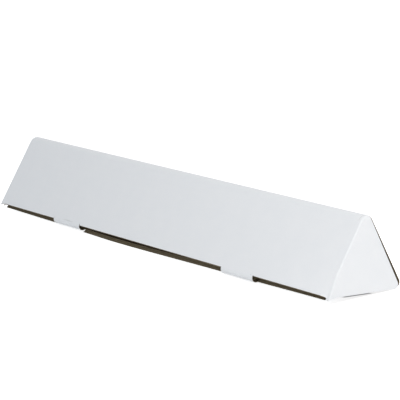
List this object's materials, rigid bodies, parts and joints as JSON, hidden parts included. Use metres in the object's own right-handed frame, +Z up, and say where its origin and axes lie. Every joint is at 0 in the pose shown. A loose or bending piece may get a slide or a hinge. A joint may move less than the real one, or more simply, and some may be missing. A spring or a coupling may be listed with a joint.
{
  "type": "triangular cardboard mailing tube",
  "caption": "Long three-sided mailing tube folded from one sheet of white corrugated board, with a hinged lid locked by tabs and a folded flap over each end.",
  "frame": {"origin": "centre of the bounding box at its lowest level, the surface that the tube lies on", "axes": "+X along the tube towards the end flap that the picture shows, +Z up, the lid faces -Y"},
  "size_m": [0.464, 0.0732, 0.0608],
  "materials": {
    "white_board": "matt white paper liner outside, brown kraft inside and at the cut edges"
  },
  "bodies": {
    "base": {"body_sheet": "white_board"},
    "lid": {"lid": "white_board"},
    "near_flap": {"near_end_flap": "white_board"},
    "far_flap": {"far_end_flap": "white_board"}
  },
  "joints": [
    {"name": "lid_hinge", "type": "hinge", "parent": "base", "child": "lid", "pos_m": [0, 0.00625, 0.06077], "axis": [-1, 0, 0], "range_deg": [0, 150]},
    {"name": "near_flap_fold", "type": "hinge", "parent": "lid", "child": "near_flap", "pos_m": [0.23106, -0.03581, 0.00537], "axis": [0, -0.572, -0.8203], "range_deg": [0, 120]},
    {"name": "far_flap_fold", "type": "hinge", "parent": "lid", "child": "far_flap", "pos_m": [-0.23106, -0.03581, 0.00537], "axis": [0, 0.572, 0.8203], "range_deg": [0, 120]}
  ]
}
